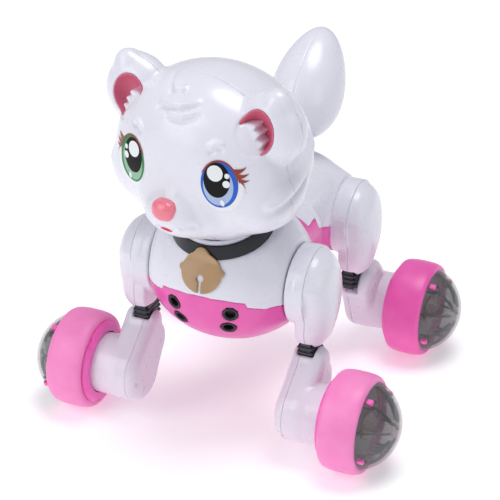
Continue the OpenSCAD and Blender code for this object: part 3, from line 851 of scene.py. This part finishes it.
def make_tail():
    bm = bmesh.new()
    profile = []
    steps = 64
    for i in range(steps + 1):
        t = math.pi * i / steps
        r = TAIL_R * math.sin(t) * (1 + 0.21 * math.cos(t)) if 0 < i < steps else 0.0
        profile.append((r, -TAIL_HALF * math.cos(t)))
    egg_shape = lathe(profile, 128)
    groove_at(egg_shape, 1, lambda p: 0 * p[:, 0], 0.28, 0.35)
    stem = lathe(rounded([(0.01, -47), (5.7, -47), (9.2, -25.5), (0.01, -25.5)], 1.0), 64)
    for part in (egg_shape, stem):
        add_part(bm, part)
    # The egg's long axis, drawn along X, stands along the tail; its seam faces the sides.
    bm.transform(Matrix.Rotation(math.pi / 2, 4, "Z") @ Matrix.Rotation(-math.pi / 2, 4, "Y"))
    piece("tail_egg", bm, FROM_AXLE @ shift(*TAIL_MID) @ Matrix.Rotation(TAIL_LEAN, 4, "X"),
          "torso", ["tail"], WHITE)


# ---- the legs ---------------------------------------------------------------------------

def leg_painted_reflection(low, high, amount):
    """A painted pink reflection of the wheels on a leg, stronger lower down."""
    return lambda p: amount * (1 - ramp(p[:, 2], low, high))


def level(value):
    """A flat parting surface."""
    return lambda p: value + 0 * p[:, 0]


def knee_block():
    """The ribbed link that shows between a thigh and its shin."""
    bm = bmesh.new()
    box_mesh(bm, (5.0, -11.6, -37.2), (12.5, 1.8, -20), 1.2)
    for i in range(3):
        z = -28.9 - 2.6 * i
        box_mesh(bm, (4.6, -12.2, z - 0.9), (12.9, 2.4, z + 0.9), 0.5)
    pin = lathe(rounded([(0.01, 4.4), (4.2, 4.4), (4.2, 13.1), (0.01, 13.1)], 0.5), 40)
    pin.transform(shift(0, -5, -34))
    add_part(bm, pin)
    return bm


def make_legs():
    upper = body_from(*skin(thigh, (-2, -23, -33), (24, 23, 23), 0.7))
    inner, outer = (half_of(upper, 0, level(SEAM_X), keep) for keep in (-1, 1))
    lower = body_from(*skin(shin, (-1, -20, -47), (31, 20, 6), 0.7))
    shin_in, shin_out = (half_of(lower, 0, level(SHIN_SEAM_X), keep) for keep in (-1, 1))
    link = knee_block()
    for leg in LEGS:
        # Painted pink reflection of the wheels on the thigh, strongest at its bottom.
        reflection_amount = leg_painted_reflection(-26, 4, 0.42)
        piece("hip_casing_" + leg, inner, on_hip(leg), "thigh_" + leg, ["thigh_inner_" + leg],
              WHITE, reflection_amount)
        piece("thigh_casing_" + leg, outer, on_hip(leg), "thigh_" + leg, ["thigh_outer_" + leg],
              WHITE, reflection_amount)
        piece("knee_block_" + leg, link, on_hip(leg), "thigh_" + leg, ["knee_link_" + leg],
              CHARCOAL)
        # Painted pink reflection of the wheels on the shin, fainter, strongest at its bottom.
        reflection_amount = leg_painted_reflection(-30, 4, 0.30)
        piece("shin_inner_casing_" + leg, shin_in, on_knee(leg), "shin_" + leg,
              ["shin_inner_" + leg], WHITE, reflection_amount)
        piece("shin_outer_casing_" + leg, shin_out, on_knee(leg), "shin_" + leg,
              ["shin_outer_" + leg], WHITE, reflection_amount)


# ---- the wheels --------------------------------------------------------------------------

def tyre_profile():
    """A full barrel section with round shoulders, flat where it sits on the hub."""
    points = []
    steps = 40
    for i in range(steps + 1):
        t = math.pi * i / steps
        c, s = math.cos(t), math.sin(t)
        points.append((21.9 + 3.1 * s ** 0.62, -3.7 - 9.5 * math.copysign(abs(c) ** 0.8, c)))
    return [(20.6, -13.0), *points, (20.6, 5.6)]


def hub_notches(r, x, turn):
    """Three pairs of small cuts in the rim of the hub's flange."""
    near = min((turn - k * 2 * math.pi / 3) % (2 * math.pi) for k in range(3))
    return -1.0 if r > 20.4 and x < -13.3 and near < 0.26 else 0.0


DOME_TIP_X = 20.6
DOME_RIM_X = 5.85
DOME_RIM_R = 21.7
DOME_RISE = 14.8
DOME_WALL = 1.5


def dome_profile():
    """The cap of a hollow ball, from the tip's outside round the rim to the tip's inside."""
    ball = (DOME_RIM_R ** 2 + DOME_RISE ** 2) / (2 * DOME_RISE)
    middle = DOME_TIP_X - ball
    arcs = []
    for r in (ball, ball - DOME_WALL):
        turns = np.linspace(0, math.acos((DOME_RIM_X - middle) / r), 28)
        arcs.append([(r * math.sin(t), middle + r * math.cos(t)) for t in turns])
    return arcs[0] + arcs[1][::-1]


TAB_TURN = math.radians(24)


def dome_inside():
    """Eight curved ribs behind the dome, with a pair of small clips beside every other one."""
    ribs = bmesh.new()
    for k in range(8):
        turn = Matrix.Rotation(2 * math.pi * k / 8 + TAB_TURN, 4, "X")
        rib = bmesh.new()
        steps = 14
        rows = []
        for i in range(steps + 1):
            t = math.radians(16 + 52 * i / steps)
            row = []
            for depth, wide in ((21.7, -0.35), (21.7, 0.35), (20.2, 0.35), (20.2, -0.35)):
                row.append(rib.verts.new((-2.7 + depth * math.cos(t), wide, depth * math.sin(t))))
            rows.append(row)
        for a, b in zip(rows, rows[1:]):
            for i in range(4):
                rib.faces.new((a[i], a[(i + 1) % 4], b[(i + 1) % 4], b[i]))
        rib.faces.new(rows[0][::-1])
        rib.faces.new(rows[-1])
        bmesh.ops.recalc_face_normals(rib, faces=rib.faces)
        if k % 2 == 0:
            box_mesh(rib, (5.2, 1.9, 17.8), (10.4, 2.7, 19.4), 0.3)
            box_mesh(rib, (5.2, -2.7, 17.8), (10.4, -1.9, 19.4), 0.3)
        rib.transform(turn)
        add_part(ribs, rib)
    return ribs


def dome_tabs():
    """Four pink tabs that hold the dome."""
    tabs = bmesh.new()
    for k in range(4):
        tab = bmesh.new()
        box_mesh(tab, (6.0, -1.5, 19.2), (9.6, 1.5, 21.25), 0.3)
        tab.transform(Matrix.Rotation(2 * math.pi * k / 4 + TAB_TURN, 4, "X"))
        add_part(tabs, tab)
    return tabs


def lamp_lens():
    """A bulb on a round foot."""
    lamp = bmesh.new()
    for part in (lathe(rounded([(0.01, 3), (7.5, 3), (7.5, 4.6), (0.01, 4.6)], 0.4), 48),
                 lathe([(0, 4.5), (2.6, 4.5), (2.6, 8), (2.2, 9.6), (1.2, 10.6), (0, 10.9)], 32)):
        add_part(lamp, part)
    return lamp


def foil_bits():
    """Glitter: small thin triangles scattered round the lamp."""
    draw = np.random.default_rng(7)
    foil = bmesh.new()
    for _ in range(26):
        turn = draw.uniform(0, 2 * math.pi)
        away = draw.uniform(5, 15)
        corner = [Vector((draw.uniform(4, 11), away * math.cos(turn), away * math.sin(turn)))]
        corner += [corner[0] + Vector(draw.uniform(-1.8, 1.8, 3)) for _ in range(2)]
        flat = [foil.verts.new(c) for c in corner]
        back = [foil.verts.new(c + Vector((0.15, 0, 0))) for c in corner]
        foil.faces.new(flat)
        foil.faces.new(back[::-1])
        for i in range(3):
            foil.faces.new((flat[i], back[i], back[(i + 1) % 3], flat[(i + 1) % 3]))
    bmesh.ops.recalc_face_normals(foil, faces=foil.faces)
    return foil


HUB = ((21.0, -14.3), (21.0, -13.1), (20.5, -13.1), (20.5, 3.5), (18.6, 3.5), (18.6, -9), (6, -9),
       (6, 2), (2.1, 2), (2.1, -11.5), (TUBE_R + 0.4, -11.5), (TUBE_R + 0.4, -15.5), (19.2, -15.5))
WELL_RING = ((2.2, 2.4), (6.2, 2.4), (9, -2), (18.5, 2.2), (18.5, 1.2), (9, -3.2), (6.3, 1.6),
             (2.2, 1.6))


def make_wheels():
    tyre = lathe(tyre_profile(), 144)
    hub = lathe(rounded(HUB, 0.35, 3), 144, hub_notches)
    dome = lathe(dome_profile(), 96)
    ribs, tabs = dome_inside(), dome_tabs()
    well = lathe(WELL_RING, 64)
    lamp, foil = lamp_lens(), foil_bits()
    for leg in LEGS:
        body, place = "wheel_" + leg, on_wheel(leg)
        piece("tyre_ring_" + leg, tyre, place, body, ["tyre_" + leg],
              TYRE_PINK if leg[0] == "f" else TYRE_DEEP)
        piece("hub_ring_" + leg, hub, place, body, ["hub_" + leg], HUB_PINK)
        piece("dome_clear_" + leg, dome, place, body, ["dome_" + leg], SMOKE)
        piece("dome_ribs_" + leg, ribs, place, body, [], RIB)
        piece("dome_tabs_" + leg, tabs, place, body, [], HUB_PINK)
        piece("wheel_well_" + leg, well, place, body, [], WELL)
        piece("lamp_lens_" + leg, lamp, place, body, ["lamp_" + leg], LAMP_RED)
        piece("foil_bits_" + leg, foil, place, body, [], FOIL)


# ---- the head -----------------------------------------------------------------------------

def head_seam(p):
    """The parting surface between face and skull: upright over the ears."""
    return -22.0 + 0 * p[:, 0]


def ear_lining(p):
    """A thin rose layer on the inside of each ear's cup."""
    side = mirrored(p)
    layer = carve(ear_cup(side, 0.05), ear_cup(side, 0.7), 0.1)
    return within(layer, join(head_plain(side), ear_form(side), 4) + 0.5, 0.3)


NOSE_MID = (-0.9, -51.3, 136.4)
NOSE_HALF = (6.5, 5.0, 5.2)
NOSE_POWER = 2.5


def nose_form(p):
    """A boxy egg."""
    q = np.abs(p - np.array(NOSE_MID)) / np.array(NOSE_HALF)
    reach = (q ** NOSE_POWER).sum(-1) ** (1 / NOSE_POWER) + 1e-9
    return length(p - np.array(NOSE_MID)) * (1 - 1 / reach)


def on_face(centre, outward, across, points, lift):
    """Carries flat points [across, up] onto the face along a line of sight into it."""
    outward = np.array(outward, float) / np.linalg.norm(outward)
    across = np.array(across, float)
    across = across - outward * (across @ outward)
    across /= np.linalg.norm(across)
    up = np.cross(outward, across)
    up = up if up[2] > 0 else -up
    flat = np.array(points, float)
    start = np.array(centre, float) + flat[:, :1] * across + flat[:, 1:] * up + outward * 8
    far = np.zeros(len(flat))
    for _ in range(24):
        far += 0.9 * face_solid(start - far[:, None] * outward)
    return start - (far - lift)[:, None] * outward


def print_patch(outline, centre, outward, across, lift, grain=0.9):
    """A thin printed shape that lies on the face, from its flat outline."""
    bm = bmesh.new()
    bm.faces.new([bm.verts.new((u, v, 0)) for u, v in outline])
    bm.normal_update()
    bmesh.ops.triangulate(bm, faces=bm.faces)
    for _ in range(6):
        long = [e for e in bm.edges if e.calc_length() > grain]
        if not long:
            break
        bmesh.ops.subdivide_edges(bm, edges=long, cuts=1)
        bmesh.ops.triangulate(bm, faces=bm.faces)
    placed = on_face(centre, outward, across, [v.co[:2] for v in bm.verts], lift)
    for v, p in zip(bm.verts, placed):
        v.co = p
    bmesh.ops.recalc_face_normals(bm, faces=bm.faces)
    if sum(f.normal.dot(Vector(outward)) for f in bm.faces) < 0:
        bmesh.ops.reverse_faces(bm, faces=bm.faces)
    return bm


def oval(u, v, half_u, half_v, turn=0.0):
    """The outline of an ellipse on the face."""
    c, s = math.cos(turn), math.sin(turn)
    return [(u + half_u * math.cos(t) * c - half_v * math.sin(t) * s,
             v + half_u * math.cos(t) * s + half_v * math.sin(t) * c)
            for t in np.linspace(0, 2 * math.pi, 48, endpoint=False)]


def spike(root_a, root_b, tip, bend):
    """A curved lash: two sides that meet in a point."""
    def side(a, b):
        middle = ((a[0] + b[0]) / 2 + bend[0], (a[1] + b[1]) / 2 + bend[1])
        return [((1 - t) ** 2 * a[0] + 2 * t * (1 - t) * middle[0] + t * t * b[0],
                 (1 - t) ** 2 * a[1] + 2 * t * (1 - t) * middle[1] + t * t * b[1])
                for t in np.linspace(0, 1, 7)]
    return side(root_a, tip) + side(tip, root_b)[1:]


EYE = (24.5, -44.5, 153.3)


def make_eye(side, iris, pale):
    """One printed eye. u runs outward across the eye and v upward."""
    centre = (side * EYE[0], *EYE[1:])
    outward = (side * 0.36, -0.93, 0.05)
    across = (side, 0, 0)
    lid = [(math.cos(t) * 9.2, math.sin(t) * 11.9) for t in np.linspace(0.25, 2.75, 30)]
    lid += [(math.cos(t) * 8.5, math.sin(t) * 11.1) for t in np.linspace(2.7, 0.3, 30)]
    shapes = [
        ("white", oval(1.1, -0.9, 10.2, 12.6)),
        (iris, oval(0, 0, 8.9, 11.7)),
        (pale, oval(-0.5, -1.0, 7.2, 9.6)),
        ("black", oval(-1.2, 2.0, 6.3, 8.6)),
        ("lash", lid),
        ("lash", spike((6.0, 8.6), (7.8, 6.0), (12.2, 9.9), (0.6, -1.2))),
        ("lash", spike((7.8, 6.6), (8.7, 4.0), (13.6, 6.9), (0.3, -1.4))),
        ("lash", spike((8.6, 4.8), (9.1, 2.2), (13.9, 3.6), (0.2, -1.2))),
        ("lash", spike((8.4, 5.6), (9.2, 2.6), (12.8, -3.6), (1.5, 1.2))),
        ("white", oval(-2.1, 5.4, 3.75, 3.85)),
        ("white", oval(3.6, 4.9, 1.15, 1.25)),
        ("white", oval(3.4, 0.9, 1.75, 1.75)),
        ("white", oval(1.6, -9.0, 1.0, 1.7, 0.25)),
    ]
    bm = bmesh.new()
    inks = sorted({ink for ink, _ in shapes})
    for order, (ink, outline) in enumerate(shapes):
        lift = 0.10 + 0.05 * (order if order < 4 else 4 + (order > 8))
        patch = print_patch(outline, centre, outward, across, lift)
        spare = bpy.data.meshes.new("spare")
        patch.to_mesh(spare)
        first = len(bm.faces)
        bm.from_mesh(spare)
        bpy.data.meshes.remove(spare)
        bm.faces.ensure_lookup_table()
        for i in range(first, len(bm.faces)):
            bm.faces[i].material_index = inks.index(ink)
    return bm, [INK[ink] for ink in inks]


def make_head():
    whole = body_from(*skin(face_solid, (-56, -58, 108), (56, 32, 200), 0.75))
    face, skull = (half_of(whole, 1, head_seam, keep, 0.25, 0.4) for keep in (-1, 1))
    piece("face_casing", face, ON_HEAD, "head", ["face_shell"], WHITE)
    piece("skull_casing", skull, ON_HEAD, "head", ["skull_shell"], WHITE)
    nose = body_from(*skin(nose_form, (-10, -58, 128), (9, -45, 145), 0.4))
    piece("nose_button", nose, ON_HEAD, "head", ["nose"], CORAL)
    linings = body_from(*skin(ear_lining, (-50, -33, 160), (50, -18, 194), 0.4))
    piece("ear_rose_linings", linings, ON_HEAD, "head", ["ear_linings"], ROSE)
    for side, label, iris, pale in ((1, "left", "blue", "blue_pale"),
                                    (-1, "right", "green", "green_pale")):
        bm, inks = make_eye(side, iris, pale)
        piece("eye_print_" + label, bm, ON_HEAD, "head", ["eyes"], inks)
    mouth = print_patch(oval(0, 0, 3.3, 0.95, -0.06), (0.3, -52, 127), (0, -0.95, -0.3), (1, 0, 0),
                        0.06, 0.5)
    piece("mouth_slit", mouth, ON_HEAD, "head", [], RED)


make_torso()
make_underside()
make_ports()
make_collar()
make_bell()
make_tail()
make_legs()
make_wheels()
make_head()


# ---- floor, light and camera ---------------------------------------------------------------

def make_stage():
    bm = bmesh.new()
    bmesh.ops.create_grid(bm, x_segments=8, y_segments=8, size=3)
    mesh = bpy.data.meshes.new("floor")
    bm.to_mesh(mesh)
    floor = bpy.data.objects.new("floor", mesh)
    bpy.context.scene.collection.objects.link(floor)
    mesh.materials.append(plastic("floor_white", (0.97, 0.97, 0.98), (0.95, 0.95, 0.96), 0.6,
                                  patch=4, shine=0.2, glow=0.30))
    floor.location.z = -0.0002


def area_light(name, place, aim, size, power, colour=(1, 1, 1)):
    lamp = bpy.data.lights.new(name, "AREA")
    lamp.shape = "DISK"
    lamp.size = size
    lamp.energy = power
    lamp.color = colour
    obj = bpy.data.objects.new(name, lamp)
    obj.location = place
    obj.rotation_euler = (Vector(aim) - Vector(place)).to_track_quat("-Z", "Y").to_euler()
    bpy.context.scene.collection.objects.link(obj)


def make_lights():
    aim = (0, 0, 0.08)
    area_light("key", (-0.62, -0.80, 0.80), aim, 0.75, 3.4)
    area_light("front", (-0.72, -0.96, 0.30), aim, 0.5, 1.5)
    area_light("top", (0.15, 0.1, 1.4), aim, 0.8, 9.3)
    area_light("fill", (1.1, -0.5, 0.6), aim, 0.8, 1.5, (0.97, 0.97, 1))
    world = bpy.data.worlds.new("studio")
    bpy.context.scene.world = world
    world.use_nodes = True
    back = world.node_tree.nodes["Background"]
    back.inputs["Color"].default_value = (0.93, 0.94, 1.0, 1)
    back.inputs["Strength"].default_value = 0.38


CAMERA_TURN = math.radians(24.26)
CAMERA_HEIGHT = math.radians(28.41)
CAMERA_AT = (363.66, -764.98, 560.58)


def make_camera():
    view = bpy.data.cameras.new("camera")
    view.sensor_width = 36
    view.lens = 146.0
    view.clip_start = 0.01
    camera = bpy.data.objects.new("camera", view)
    backward = Vector((math.sin(CAMERA_TURN) * math.cos(CAMERA_HEIGHT),
                       -math.cos(CAMERA_TURN) * math.cos(CAMERA_HEIGHT),
                       math.sin(CAMERA_HEIGHT)))
    right = Vector((math.cos(CAMERA_TURN), math.sin(CAMERA_TURN), 0))
    up = backward.cross(right)
    turned = Matrix((right, up, backward)).transposed().to_4x4()
    at = Vector(CAMERA_AT) + Vector((0, AXLE_Y, 0))
    camera.matrix_world = Matrix.Translation(at * MM) @ turned
    bpy.context.scene.collection.objects.link(camera)
    bpy.context.scene.camera = camera


make_stage()
make_lights()
make_camera()
bpy.context.scene.view_settings.view_transform = "Standard"
